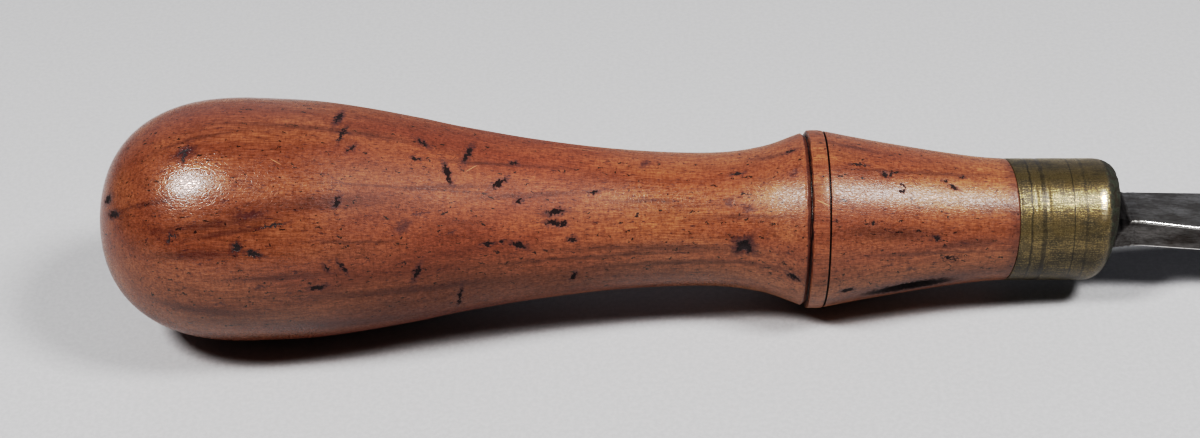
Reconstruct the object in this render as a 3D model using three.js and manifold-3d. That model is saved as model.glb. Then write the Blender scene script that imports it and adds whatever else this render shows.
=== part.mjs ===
// A tanged bench chisel with a turned pear-shaped handle, lying on a bench.
//
// Units are millimetres. +X runs from the butt of the handle to the cutting edge, +Z is up.
// Each piece is drawn along the handle's own axis, with x counted from the butt. The whole tool is then
// tipped forward until it lies on its bulb and on the lower corner of its cutting edge, as it does on a bench.
import * as THREE from "three";
import { mergeVertices } from "three/addons/utils/BufferGeometryUtils.js";
import Module from "manifold-3d";

const wasm = await Module();
wasm.setup();

// ---- Driving dimensions ----

const ROUND_SIDES = 48; // flats round every turned piece
const FIT_GAP = 0.3; // air between pieces that are pressed together on the real tool

// Handle: stations along the axis, and radii
const BULB_AT = 19;
const BULB_RADIUS = 15.95;
const BUTT_BLUNTNESS = 2.4; // 2 is an ellipse, more is blunter
const GRIP = [
  [27, 15.55],
  [34, 14.65],
  [41.2, 13.35],
  [56.9, 10.45],
  [68, 9.15],
  [79, 8.75],
  [85.8, 9.53],
];
const WIDE_GROOVE_AT = 91.3;
const WIDE_GROOVE = { halfWidth: 0.3, depth: 0.4 };
const FINE_GROOVE_AT = 93.8;
const FINE_GROOVE = { halfWidth: 0.2, depth: 0.2 };
const BEAD_RADIUS = 11.65; // the flat band between the grooves, the widest part of the shoulder
const SHOULDER_BEHIND_RADIUS = 11.3; // just behind the wide groove
const NOSE = [
  [98.9, 10.58],
  [104.1, 9.68],
  [109.3, 8.85],
  [114.6, 8.2],
];

// Ferrule: a drawn brass cap with a closed, domed front
const FERRULE_AT = 117.75;
const FERRULE_RADIUS = 8;
const FERRULE_WALL = 0.95;
const FERRULE_CORNER_AT = 128.3;
const FERRULE_FRONT_AT = 131.9;
const FERRULE_FRONT_THICKNESS = 1;
const FERRULE_HOLE_RADIUS = 4.4;

// Spigot: the turned-down end of the handle inside the ferrule
const SPIGOT_RADIUS = FERRULE_RADIUS - FERRULE_WALL - FIT_GAP;
const SPIGOT_CHAMFER_AT = 127.9;
const SPIGOT_END = 129.9;
const SPIGOT_END_RADIUS = 5.4;

// Tang: the square spike that is driven into the handle
const TANG_TIP_AT = 70.3;
const TANG_TIP_HALF = 0.9;
const TANG_ROOT_HALF = 2.3;
const TANG_SHOULDER_AT = SPIGOT_END + FIT_GAP;
const BORE_END = TANG_TIP_AT - 2.3;
const BORE_END_RADIUS = 1.7;
const BORE_MOUTH_RADIUS = 3.6;

// Blade
const NECK_AT = 131.2;
const NECK_END = 134.6;
const NECK_HALF_WIDTH = 3.45;
const NECK_TOP = 2.07;
const TIP_AT = 232.7;
const EDGE_HALF_WIDTH = 9.5;
const EDGE_THICKNESS = 0.16;
const BEVEL_LENGTH = 5.9;
const BLADE_SIDE = [
  [143.1, 4.17],
  [165, 5.75],
  [200, 7.7],
]; // x, half width
const BACK_AT_NECK = -1.96;
const BACK_SLOPE = -0.025; // the flat back leaves the handle's axis downwards by this much per mm
const BLADE_THICKNESS = [
  [143.1, 3.6],
  [154, 3.33],
  [170, 3.12],
  [198, 2.9],
]; // x, thickness above the flat back
const BEVEL_HEEL_THICKNESS = 2.7;

// ---- Finishes ----

function finish(color, roughness, metalness) {
  return new THREE.MeshStandardMaterial({ color, roughness, metalness });
}
const turnedWood = finish(0x9c4a26, 0.38, 0);
const agedBrass = finish(0x8d7433, 0.42, 1);
const forgedSteel = finish(0x6a6865, 0.45, 1);

// ---- Helpers ----

// Points as (distance along the axis, radius or height).
function points(pairs) {
  return pairs.map(([along, out]) => new THREE.Vector2(along, out));
}

// A smooth line through every given point, with a few steps to each of its spans.
function smooth(line, stepsPerSpan) {
  return new THREE.SplineCurve(line).getPoints((line.length - 1) * stepsPerSpan);
}

// A turned solid about X, from an outline of (along, radius) points.
function turned(outline) {
  const lathe = outline.map((p) => new THREE.Vector2(p.y, p.x));
  const geometry = new THREE.LatheGeometry(lathe, ROUND_SIDES);
  return geometry.rotateZ(-Math.PI / 2);
}

// A solid for joining and cutting, from a closed three.js geometry.
function solid(geometry) {
  const bare = geometry.index ? geometry.toNonIndexed() : geometry.clone();
  bare.deleteAttribute("normal");
  bare.deleteAttribute("uv");
  const merged = mergeVertices(bare, 1e-4);
  return new wasm.Manifold(
    new wasm.Mesh({
      numProp: 3,
      vertProperties: merged.attributes.position.array,
      triVerts: new Uint32Array(merged.index.array),
    }),
  );
}

function geometryOf(manifold) {
  const mesh = manifold.getMesh();
  const geometry = new THREE.BufferGeometry();
  geometry.setAttribute("position", new THREE.BufferAttribute(mesh.vertProperties, 3));
  geometry.setIndex(new THREE.BufferAttribute(mesh.triVerts, 1));
  geometry.computeVertexNormals();
  return geometry;
}

function piece(name, geometry, material) {
  const mesh = new THREE.Mesh(geometry, material);
  mesh.name = name;
  return mesh;
}

// ---- Handle ----

// The blunt dome of the butt: a superellipse from the pole to the widest part of the bulb.
function buttDome(steps) {
  const dome = [];
  for (let i = 0; i <= steps; i += 1) {
    const turn = (Math.PI / 2) * (i / steps);
    const along = BULB_AT * (1 - Math.cos(turn) ** (2 / BUTT_BLUNTNESS));
    const radius = BULB_RADIUS * Math.sin(turn) ** (2 / BUTT_BLUNTNESS);
    dome.push(new THREE.Vector2(along, radius));
  }
  dome[0].set(0, 0);
  return dome;
}

function groove(at, { halfWidth, depth }, radiusBehind, radiusAhead) {
  const bottom = Math.min(radiusBehind, radiusAhead) - depth;
  return points([
    [at - halfWidth, radiusBehind],
    [at, bottom],
    [at + halfWidth, radiusAhead],
  ]);
}

function handleOutline() {
  const dome = buttDome(11);
  const wide = groove(WIDE_GROOVE_AT, WIDE_GROOVE, SHOULDER_BEHIND_RADIUS, BEAD_RADIUS);
  const fine = groove(FINE_GROOVE_AT, FINE_GROOVE, BEAD_RADIUS, BEAD_RADIUS - 0.1);
  const lead = dome[dome.length - 2]; // carries the dome's curve on into the grip
  const stepsPerSpan = 3;
  const grip = smooth([lead, dome[dome.length - 1], ...points(GRIP), wide[0]], stepsPerSpan);
  const noseEnd = new THREE.Vector2(FERRULE_AT - FIT_GAP, FERRULE_RADIUS);
  const nose = smooth([fine[2], ...points(NOSE), noseEnd], 2);
  return [
    ...dome,
    ...grip.slice(stepsPerSpan + 1),
    ...wide.slice(1),
    ...fine,
    ...nose.slice(1),
    ...points([
      [FERRULE_AT - FIT_GAP, SPIGOT_RADIUS],
      [SPIGOT_CHAMFER_AT, SPIGOT_RADIUS],
      [SPIGOT_END, SPIGOT_END_RADIUS],
      [SPIGOT_END, BORE_MOUTH_RADIUS],
      [BORE_END, BORE_END_RADIUS],
      [BORE_END - BORE_END_RADIUS / 2, 0],
    ]),
  ];
}

// ---- Ferrule ----

function ferruleOutline() {
  const corner = new THREE.QuadraticBezierCurve(
    new THREE.Vector2(FERRULE_CORNER_AT, FERRULE_RADIUS),
    new THREE.Vector2(FERRULE_FRONT_AT - 1, FERRULE_RADIUS - 0.3),
    new THREE.Vector2(FERRULE_FRONT_AT, FERRULE_HOLE_RADIUS),
  );
  const innerRadius = FERRULE_RADIUS - FERRULE_WALL;
  const innerFront = FERRULE_FRONT_AT - FERRULE_FRONT_THICKNESS;
  const inside = new THREE.QuadraticBezierCurve(
    new THREE.Vector2(innerFront, FERRULE_HOLE_RADIUS),
    new THREE.Vector2(innerFront - 0.9, innerRadius - 0.25),
    new THREE.Vector2(FERRULE_CORNER_AT - 0.2, innerRadius),
  );
  const back = new THREE.Vector2(FERRULE_AT, FERRULE_RADIUS);
  return [
    back,
    ...corner.getPoints(7),
    ...inside.getPoints(5),
    new THREE.Vector2(FERRULE_AT, innerRadius),
    back.clone(),
  ];
}

// ---- Blade, with its tang, forged in one piece ----

function backHeight(along) {
  return BACK_AT_NECK + BACK_SLOPE * (along - NECK_END);
}

// The blade's outline from above, as half widths from the tang's tip to the cutting edge.
function planOutline() {
  const side = smooth(
    points([[NECK_END, NECK_HALF_WIDTH], ...BLADE_SIDE, [TIP_AT, EDGE_HALF_WIDTH]]),
    4,
  );
  return [
    ...points([
      [TANG_TIP_AT, TANG_TIP_HALF],
      [TANG_SHOULDER_AT, TANG_ROOT_HALF],
      [NECK_AT, NECK_HALF_WIDTH],
    ]),
    ...side,
  ];
}

// The blade's outline from the side: the upper line, then the flat back and the underside of the tang.
function sideOutline() {
  const heel = TIP_AT - BEVEL_LENGTH;
  const upper = points([
    [NECK_END, NECK_TOP],
    ...BLADE_THICKNESS.map(([along, thickness]) => [along, backHeight(along) + thickness]),
    [heel, backHeight(heel) + BEVEL_HEEL_THICKNESS],
  ]);
  return [
    ...points([
      [TANG_TIP_AT, TANG_TIP_HALF],
      [TANG_SHOULDER_AT, TANG_ROOT_HALF - 0.3],
      [NECK_AT, NECK_TOP],
    ]),
    ...smooth(upper, 4),
    ...points([
      [TIP_AT, backHeight(TIP_AT) + EDGE_THICKNESS],
      [TIP_AT, backHeight(TIP_AT)],
      [NECK_END, BACK_AT_NECK],
      [NECK_AT, BACK_AT_NECK],
      [TANG_SHOULDER_AT, -TANG_ROOT_HALF + 0.3],
      [TANG_TIP_AT, -TANG_TIP_HALF],
    ]),
  ];
}

function slab(outline, thickness) {
  const geometry = new THREE.ExtrudeGeometry(new THREE.Shape(outline), {
    depth: thickness,
    bevelEnabled: false,
  });
  return geometry.translate(0, 0, -thickness / 2);
}

function bladeGeometry() {
  const halfPlan = planOutline();
  const mirrored = halfPlan.map((p) => new THREE.Vector2(p.x, -p.y)).reverse();
  const fromAbove = solid(slab([...halfPlan, ...mirrored], 4 * EDGE_HALF_WIDTH));
  const fromSide = solid(slab(sideOutline(), 4 * EDGE_HALF_WIDTH).rotateX(Math.PI / 2));
  return geometryOf(fromAbove.intersect(fromSide));
}

// ---- Assembly ----

// How far the tool tips forward when it lies on its bulb and its cutting edge:
// the steepest line from the lower corner of the edge that still touches the handle.
function restTilt(outline) {
  const edgeDepth = -backHeight(TIP_AT);
  const slopes = outline.map((p) => (p.y - edgeDepth) / (TIP_AT - p.x));
  return Math.atan(Math.max(...slopes));
}

const handleLine = handleOutline();

const chisel = new THREE.Group();
chisel.add(piece("handle", turned(handleLine), turnedWood));
chisel.add(piece("ferrule", turned(ferruleOutline()), agedBrass));
chisel.add(piece("blade", bladeGeometry(), forgedSteel));
chisel.rotation.y = restTilt(handleLine);

// The origin is under the middle of the tool, on the bench.
const benchChisel = new THREE.Group();
benchChisel.add(chisel);
const box = new THREE.Box3().setFromObject(benchChisel, true);
const middle = box.getCenter(new THREE.Vector3());
chisel.position.set(-middle.x, -middle.y, -box.min.z);

export default benchChisel;
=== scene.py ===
# %% [markdown]
# # An old bench chisel
# This lesson dresses a plain model of a tanged chisel for a close look: a turned handle, a brass ferrule
# and a forged blade. The plain model is loaded first and stays fixed. Every new piece is made where its
# plain piece lies, so nothing has to be fitted afterwards.

# %% Load the plain model
import math

import bmesh
import bpy
import numpy as np
from mathutils import Matrix, Vector, noise


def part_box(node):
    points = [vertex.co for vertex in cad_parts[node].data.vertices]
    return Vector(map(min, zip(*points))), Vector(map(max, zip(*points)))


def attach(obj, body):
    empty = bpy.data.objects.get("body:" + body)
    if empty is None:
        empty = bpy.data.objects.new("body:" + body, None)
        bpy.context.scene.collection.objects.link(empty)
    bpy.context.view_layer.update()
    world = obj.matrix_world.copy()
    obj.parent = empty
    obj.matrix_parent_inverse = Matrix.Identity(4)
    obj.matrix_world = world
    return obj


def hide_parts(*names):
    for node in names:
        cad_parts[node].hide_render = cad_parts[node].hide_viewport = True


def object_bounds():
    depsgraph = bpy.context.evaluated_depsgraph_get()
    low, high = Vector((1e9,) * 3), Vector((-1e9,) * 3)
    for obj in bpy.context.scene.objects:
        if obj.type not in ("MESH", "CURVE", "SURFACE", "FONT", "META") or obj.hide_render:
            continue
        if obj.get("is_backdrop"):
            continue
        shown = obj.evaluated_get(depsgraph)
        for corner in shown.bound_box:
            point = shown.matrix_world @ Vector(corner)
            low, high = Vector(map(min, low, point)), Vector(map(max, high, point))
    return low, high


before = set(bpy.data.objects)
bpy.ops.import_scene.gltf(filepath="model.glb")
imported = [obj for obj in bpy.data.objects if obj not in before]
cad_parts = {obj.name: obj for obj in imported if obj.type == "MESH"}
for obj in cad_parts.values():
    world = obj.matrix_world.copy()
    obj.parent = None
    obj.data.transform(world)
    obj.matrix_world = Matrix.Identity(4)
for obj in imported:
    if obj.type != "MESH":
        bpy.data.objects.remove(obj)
plain_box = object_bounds()
print("plain pieces:", sorted(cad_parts))

# %% [markdown]
# ## Where the tool lies
# The chisel lies on its bulb and on the lower corner of its cutting edge, so its axis dips a few degrees
# towards the blade. A turned piece has its middle on the axis, so the middles of the handle and of the
# ferrule give the axis without measuring an angle. Everything below is drawn in millimetres along that
# axis, counted from the butt, and one matrix carries it to its place on the bench.

# %% The tool's own space
MM = 0.001


def middle_of(node):
    """The average corner of a plain piece's triangles."""
    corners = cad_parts[node].data.vertices
    return sum((v.co for v in corners), Vector()) / len(corners)


handle_middle = middle_of("handle")
ferrule_middle = middle_of("ferrule")
axis = (ferrule_middle - handle_middle).normalized()
DIP = math.atan2(-axis.z, axis.x)
butt_distance = min((v.co - handle_middle).dot(axis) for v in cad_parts["handle"].data.vertices)
BUTT = handle_middle + axis * butt_distance
TOOL = Matrix.Translation(BUTT) @ Matrix.Rotation(DIP, 4, "Y") @ Matrix.Scale(MM, 4)
tool_end = (TOOL.inverted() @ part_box("blade")[1]).x
print(f"the axis dips {math.degrees(DIP):.2f} degrees, and the tool is {tool_end:.1f} mm long")

# %% [markdown]
# ## Turned outlines
# A lathe makes a piece from one outline. The knots below are the few places where a turner would set the
# callipers, and a Catmull-Rom curve runs smoothly through them. The blunt dome of the butt is a
# superellipse, which fits in one formula.

# %% Curves for outlines
def smooth_line(knots, step):
    """Points about one step apart on a smooth curve through the knots."""
    ghost_start = 2 * Vector(knots[0]) - Vector(knots[1])
    ghost_end = 2 * Vector(knots[-1]) - Vector(knots[-2])
    line = [ghost_start, *map(Vector, knots), ghost_end]
    made = []
    for a, b, c, d in zip(line, line[1:], line[2:], line[3:]):
        count = max(1, round((c - b).length / step))
        for i in range(count):
            t = i / count
            made.append(0.5 * (2 * b + (c - a) * t + (2 * a - 5 * b + 4 * c - d) * t**2
                               + (3 * b - a - 3 * c + d) * t**3))
    return [*made, line[-2]]


BUTT_AT, BULB_AT, BULB_RADIUS, BLUNTNESS = 0.03, 19.0, 15.93, 2.4


def butt_dome(steps):
    """The superellipse from the pole of the butt to the widest place of the bulb."""
    dome = []
    for i in range(steps + 1):
        turn = math.pi / 2 * i / steps
        along = BULB_AT - (BULB_AT - BUTT_AT) * max(0.0, math.cos(turn)) ** (2 / BLUNTNESS)
        dome.append(Vector((along, BULB_RADIUS * math.sin(turn) ** (2 / BLUNTNESS))))
    return dome


# %% [markdown]
# ## The outline of the handle
# From the bulb the grip narrows to a waist and swells to a shoulder, where the turner scribed two lines: a
# wide torn one and a fine one, with a flat band between. A hollow nose runs down to the ferrule, and
# inside that is the spigot, with a tapered hole for the tang. The ferrule sits a little askew, so the
# joint is turned square first and leaned over afterwards.

# %% Handle outline
WIDE_GROOVE, FINE_GROOVE = 91.45, 93.8
JOINT, FERRULE_RADIUS = 117.45, 8.0
SPIGOT_RADIUS, SPIGOT_END = 6.72, 129.6
GRIP = [
    (27, 15.55), (34, 14.62), (41.2, 13.32), (47, 12.1), (56.9, 10.42), (68, 9.14), (79, 8.74),
    (85.8, 9.52), (90.85, 11.24),
]
NOSE = [(94.05, 11.5), (98.9, 10.56), (104.1, 9.66), (109.3, 8.83), (114.0, 8.22), (117.2, 7.98)]
SKIN_STEP = 0.34  # the spacing of the rings, fine enough for the smallest dents


def handle_outline():
    dome = butt_dome(52)
    grip = smooth_line([dome[-2], dome[-1], *GRIP], SKIN_STEP)
    grip = [p for p in grip if p.x > BULB_AT + 0.1]
    wide = [(90.98, 11.2), (91.1, 11.12), (91.3, 10.98), (91.45, 10.84), (91.52, 10.86), (91.6, 11.3),
            (91.72, 11.6)]
    band = [(92.2, 11.64), (92.55, 11.65), (92.9, 11.65), (93.25, 11.63), (93.55, 11.6)]
    fine = [(93.68, 11.55), (93.76, 11.28), (93.84, 11.26), (93.93, 11.5)]
    nose = smooth_line(NOSE, SKIN_STEP)
    joint = [(JOINT - 0.07, 7.95), (JOINT, 7.86)]
    inside = [(JOINT, SPIGOT_RADIUS), (127.9, SPIGOT_RADIUS), (SPIGOT_END, 5.4), (SPIGOT_END, 3.6),
              (68, 1.7), (67.15, 0)]
    return [*dome, *grip, *map(Vector, wide + band + fine), *nose, *map(Vector, joint + inside)]


handle_line = handle_outline()
print("rings on the handle:", len(handle_line))

# %% [markdown]
# ## Spinning a solid
# The outline becomes a row of edges, and the spin operator turns it once round the axis. The ends that lie
# on the axis come out as many points in one place, so doubles are merged and the faces are turned outwards
# again.

# %% Spin
ASKEW = 0.105  # how far forward the joint leans for each millimetre towards the reader
FACING = 35  # degrees above the bench of the line that faces the reader
FACING_SIDE = Vector((0, -math.cos(math.radians(FACING)), math.sin(math.radians(FACING))))


def lean(point, share):
    """How far a point moves along the tool so that the joint lies askew."""
    return share * ASKEW * point.dot(FACING_SIDE)


def spun(name, outline, steps):
    """A mesh turned round the tool's axis, still in millimetres."""
    shape = bmesh.new()
    row = [shape.verts.new((p.x, 0, -p.y)) for p in outline]
    edges = [shape.edges.new(pair) for pair in zip(row, row[1:])]
    bmesh.ops.spin(shape, geom=[*row, *edges], cent=(0, 0, 0), axis=(1, 0, 0), dvec=(0, 0, 0),
                   angle=math.tau, steps=steps, use_merge=True, use_duplicate=False)
    bmesh.ops.remove_doubles(shape, verts=shape.verts, dist=1e-4)
    bmesh.ops.recalc_face_normals(shape, faces=shape.faces)
    mesh = bpy.data.meshes.new(name)
    shape.to_mesh(mesh)
    shape.free()
    return mesh


def set_down(name, data):
    """A new object in the scene."""
    thing = bpy.data.objects.new(name, data)
    bpy.context.scene.collection.objects.link(thing)
    return thing


def finish_piece(mesh, node, smooth_angle):
    """Puts a mesh in its place on the bench as the piece that stands for a plain one."""
    mesh.transform(TOOL)
    mesh.shade_smooth()
    mesh.set_sharp_from_angle(angle=math.radians(smooth_angle))
    piece = set_down(mesh.name, mesh)
    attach(piece, "root")
    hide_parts(node)
    print(mesh.name, len(mesh.polygons), "faces")
    return piece


# %% [markdown]
# ## Places on the skin
# A dent is easiest to place as a maker would point at it: so many millimetres from the butt, and so many
# degrees up or down from the line that faces the reader. The same list serves twice: it pushes the surface
# in, and it tells the finish where dirt has settled.

# %% Dents and knocks
# mm from the butt, degrees up from the facing line, mm long, mm wide, degrees of slant
KNOCKS = [
    (2.6, 15, 0.9, 0.8, 0), (3.6, 3, 1.6, 0.6, 0), (13.1, 31, 1.8, 0.35, 85), (12.9, 33, 1.2, 0.4, 20),
    (11.5, -9, 1, 0.4, 70), (11.9, -8, 0.8, 0.3, 0), (19.8, -13, 0.95, 0.75, 60),
    (22, -16, 1.5, 0.5, -15), (31.5, 60, 2.6, 0.5, 80), (32.3, 46, 2.2, 0.3, 75), (32.4, 47, 1, 0.3, 5),
    (32.1, 8, 1, 0.5, 60), (30.8, -24, 0.9, 0.35, -55), (32.7, -24, 1.5, 0.3, -60),
    (33.6, 37, 1.2, 0.3, 50), (29.6, -34, 1.6, 0.35, 8), (41.8, -31, 1.7, 0.45, 70),
    (42.3, 48, 1.4, 0.4, -40), (41.6, 35, 0.8, 0.3, 0), (45.6, 28, 2.3, 0.45, -72),
    (48, 44, 2.4, 0.5, 75), (52.1, 24, 1.8, 0.45, 40), (53.9, 41, 0.7, 0.5, 0),
    (54.6, 12, 0.8, 0.35, 30), (50.8, -16, 1.2, 0.3, 5), (52.5, -15, 0.5, 0.3, 0),
    (54.6, -18, 1.4, 0.5, -20), (46.9, -56, 3, 0.3, 80), (59.2, 5, 1.7, 0.5, 10),
    (58.9, -3, 1.5, 0.5, -8), (60.2, -4, 0.8, 0.45, 20), (61.3, -15, 0.9, 0.4, 0),
    (61.4, -48, 1.2, 0.4, 70), (63.9, 21, 1, 0.3, 10), (82.3, 40, 1.3, 0.3, 8), (83, -22, 2.1, 0.75, 50),
    (83.2, -22.5, 2, 0.7, -35), (83.1, -22, 1.7, 0.6, 5), (89.5, -44, 1.3, 0.5, -30),
    (89.1, 55, 0.9, 0.3, 10), (97.7, 40, 1.6, 0.25, 3), (100.9, 34, 0.65, 0.45, -20),
    (101.7, 34, 0.7, 0.3, 60), (103, 21, 0.6, 0.4, 0), (103.2, 25, 0.6, 0.25, -60),
    (109.7, 28, 1.1, 0.35, -30), (107.5, -16, 0.75, 0.45, -20), (99.2, -3, 0.5, 0.3, 10),
    (96.4, -56, 1.4, 0.5, 8), (108.7, 33, 0.5, 0.35, 0), (110.9, 38, 0.5, 0.3, 0),
    (109.2, -34, 1.3, 0.25, 6), (109.8, -36, 0.9, 0.25, 6), (24.5, -3, 2.4, 0.2, 12),
    (14.5, 118, 1.5, 0.4, 30), (26, 140, 1.9, 0.4, -60), (33.1, 108, 1.2, 0.45, 10),
    (38.4, 165, 2.2, 0.4, 75), (47.5, 128, 1.3, 0.45, -20), (58.3, 150, 1.1, 0.4, 60),
    (66.2, 112, 1.4, 0.3, 5), (72.8, 178, 0.9, 0.45, 0), (86.3, 135, 1.5, 0.45, 50),
    (98.6, 118, 0.9, 0.35, -30), (107.2, 152, 1.3, 0.35, 8), (21.7, -158, 1.6, 0.5, -35),
    (42.6, -140, 1.4, 0.4, 65), (63.5, -165, 1, 0.4, 15), (79.9, -130, 1.6, 0.35, -5),
    (103.9, -170, 1, 0.4, 40), (7.2, 95, 1.1, 0.5, 10), (30.4, -112, 1.7, 0.45, 25),
    (54.1, -98, 1.2, 0.35, -70), (93, 95, 0.7, 0.35, 0),
]
BRUISES = [
    (13.1, 32, 3.2, 1.9, 20), (40.2, -4, 2.6, 1.5, 30), (46.2, -8, 1.5, 0.4, 20),
    (22.4, -33, 1.5, 0.5, 4), (17.1, -42, 1.4, 0.35, 0), (27.8, -40, 1.8, 0.3, 5),
    (18.3, 8, 0.7, 0.5, 0), (22.6, 27, 0.8, 0.35, 10), (32.5, 18, 2.2, 0.25, -12),
    (10.7, 24, 2.5, 0.22, 22), (70.5, 52, 2.2, 1.1, 60), (81.2, 14, 1.2, 1.1, 40),
    (83.6, 8, 1.8, 0.7, 0), (89.3, 33, 1.2, 0.9, 0), (104.6, -42, 1.4, 0.6, 0), (101.5, -36, 1, 0.5, 20),
    (21.5, 2, 4.5, 0.9, 6), (83.1, -22, 3, 2.4, 0), (31.6, 60, 4, 1.1, 80), (42.5, 3, 3.2, 0.35, 8),
]
SCRATCHES = [
    (15.2, 24, 2.4, 0.13, -8), (62.5, 69, 4.6, 0.14, -3), (92.8, 10, 2, 0.16, -24),
    (24.5, 27, 1.8, 0.1, -30), (59.5, 66, 2.6, 0.1, -6), (48.6, 33, 2, 0.1, 40),
]
STREAKS = [
    (18.2, -2, 16.5, 1.1, 7), (19.1, -6, 12, 0.7, 9), (30.7, 8, 18, 2, 5), (41.2, 17, 21, 0.45, -1),
    (33.7, -11, 14, 0.4, -2), (13.8, -17, 12, 1.3, 5), (31.3, 48, 22, 1, -2), (45.4, 19, 12, 0.5, 4),
    (57.2, 17, 16, 0.7, 6), (64.4, -30, 30, 0.5, 1), (72.4, -24, 26, 1.1, -1), (70.5, 15, 9, 0.6, 1),
    (101.2, -10, 14, 1.9, -2), (86.9, 55, 7, 0.9, -3), (40.8, -42, 28, 1.3, -3),
    (14.4, -47, 16, 1.5, -3), (76.3, -39, 23, 0.8, 1), (106.3, 39, 20, 0.7, 4), (84, 2, 11, 0.5, -1),
    (14, 40, 12, 0.8, 12), (51.5, 38, 17, 0.6, 3), (106.8, -28, 19, 0.6, -2), (30.9, -63, 22, 2.6, -8),
    (9, 8, 9, 0.7, 8), (24, -28, 14, 0.9, 2), (114.5, 12, 7, 1.6, 0), (112, -22, 9, 1.2, 3),
    (97, 58, 10, 1, -4), (60, 120, 30, 1.2, 2), (25, 150, 24, 1.8, 4), (45, -120, 26, 1.4, -3),
    (20, -150, 18, 1.1, 5), (80, 170, 22, 0.8, 1), (103, 140, 16, 1, 3), (100, -130, 18, 1.3, -2),
    (35, 100, 26, 0.9, -4),
]
BUTT_CHIP = (0.9, -68, 1.7, 3.4, 0)
NOSE_SPLIT = (104.6, -65.5, 9.6, 2.0, 3)


def handle_radius(along):
    """The handle's radius where nothing has been cut into it."""
    for a, b in zip(handle_line, handle_line[1:]):
        if a.x <= along <= b.x and b.x > a.x:
            return a.y + (b.y - a.y) * (along - a.x) / (b.x - a.x)
    return 0.0


def mark_frame(along, up, slant):
    """A matrix with X along a mark, Y across it and Z out of the skin."""
    radius = handle_radius(along)
    round_axis = Matrix.Rotation(-math.radians(up + FACING), 4, "X")
    place = round_axis @ Matrix.Translation((along, -radius, 0))
    outwards = Matrix.Rotation(math.pi / 2, 4, "X")
    return place @ outwards @ Matrix.Rotation(math.radians(slant), 4, "Z")


print("marks placed by hand:", len(KNOCKS) + len(BRUISES) + len(SCRATCHES) + 2)

# %% [markdown]
# ## Wear in the surface
# The spun handle is a perfect solid of revolution, which no old handle is. Each point is pushed in along
# its radius: a little by slow noise, for the turner's hand, deeper inside each knock, and unevenly along
# the torn groove. Points only move inwards, so the handle never outgrows the plain one.

# %% Press the wear into the handle
def rows_of(items, name):
    """A vector of each item, as rows of an array."""
    values = np.zeros(len(items) * 3)
    items.foreach_get(name, values)
    return values.reshape(-1, 3)


CUT_DEPTH = 0.9  # mm, the split and the chip
BRUISE_DEPTH = 0.05
SLOW_WEAR, FINE_WEAR = 0.05, 0.012
TORN_WANDER, TORN_DEPTH = 0.13, 0.22
LEAN_RUN_IN, LEAN_LENGTH = 9, 8  # mm behind the joint where its lean starts, and how soon it is whole


def inside_mark(points, mark):
    """How deep each point is inside a mark: 1 in its middle, 0 from its edge outwards."""
    along, up, length, width, slant = mark
    to_mark = np.array(mark_frame(along, up, slant).inverted())
    local = points @ to_mark[:3, :3].T + to_mark[:3, 3]
    spread = (local[:, 0] / (length / 2)) ** 2 + (local[:, 1] / (width / 2)) ** 2
    spread += (local[:, 2] / 2.0) ** 2
    return np.clip(1 - spread, 0, 1) ** 1.5


def wear_handle(mesh):
    points = rows_of(mesh.vertices, "co")
    radius = np.hypot(points[:, 1], points[:, 2])
    skin = (points[:, 0] < JOINT) & (radius > SPIGOT_RADIUS) | (points[:, 0] < 20)
    push = np.zeros(len(points))
    for mark in KNOCKS:
        grown = (*mark[:2], mark[2] * 1.25 + 0.2, mark[3] * 1.25 + 0.35, mark[4])
        push += inside_mark(points, grown) * (0.02 + 0.09 * min(mark[3], 0.8))
    for mark in BRUISES:
        push += inside_mark(points, mark) * BRUISE_DEPTH
    for mark in (NOSE_SPLIT, BUTT_CHIP):
        push += inside_mark(points, mark) * CUT_DEPTH
    for i in np.nonzero(skin)[0]:
        x, y, z = points[i]
        slow = noise.noise((x * 0.11, y * 0.16, z * 0.16))
        fine = noise.noise((x * 0.5, y * 0.7, z * 0.7))
        push[i] += SLOW_WEAR * (0.5 + 0.5 * slow) + FINE_WEAR * (0.5 + 0.5 * fine)
        if abs(x - WIDE_GROOVE) < 0.5:
            torn = noise.noise((7.0, y * 0.45, z * 0.45))
            points[i, 0] += TORN_WANDER * torn
            push[i] += max(0.0, torn) * TORN_DEPTH * (x < WIDE_GROOVE + 0.2)
    moved = skin & (radius > 0.01)
    shrink = np.where(moved, 1 - push / np.maximum(radius, 0.01), 1.0)
    near_pole = np.clip((radius - 1.0) / 6.0, 0, 1)
    shrink = 1 - (1 - shrink) * near_pole
    points[:, 1] *= shrink
    points[:, 2] *= shrink
    points[:, 0] += np.where(moved, push * (1 - near_pole), 0)
    mesh.vertices.foreach_set("co", points.ravel())
    for vertex in mesh.vertices:
        share = (vertex.co.x - JOINT + LEAN_RUN_IN) / LEAN_LENGTH
        if share > 0:
            vertex.co.x += lean(vertex.co, min(1.0, share))
    mesh.update()


handle_mesh = spun("turned_handle", handle_line, 270)
wear_handle(handle_mesh)

# %% [markdown]
# ## Marks that are finer than the mesh
# Most marks are narrower than a face, so their colour comes from the finish. Each face takes the mark that
# is nearest to it, and each of its corners stores where it lies in that mark's own frame. These
# coordinates change evenly between corners, so the finish can draw an outline far sharper than the mesh.

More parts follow.
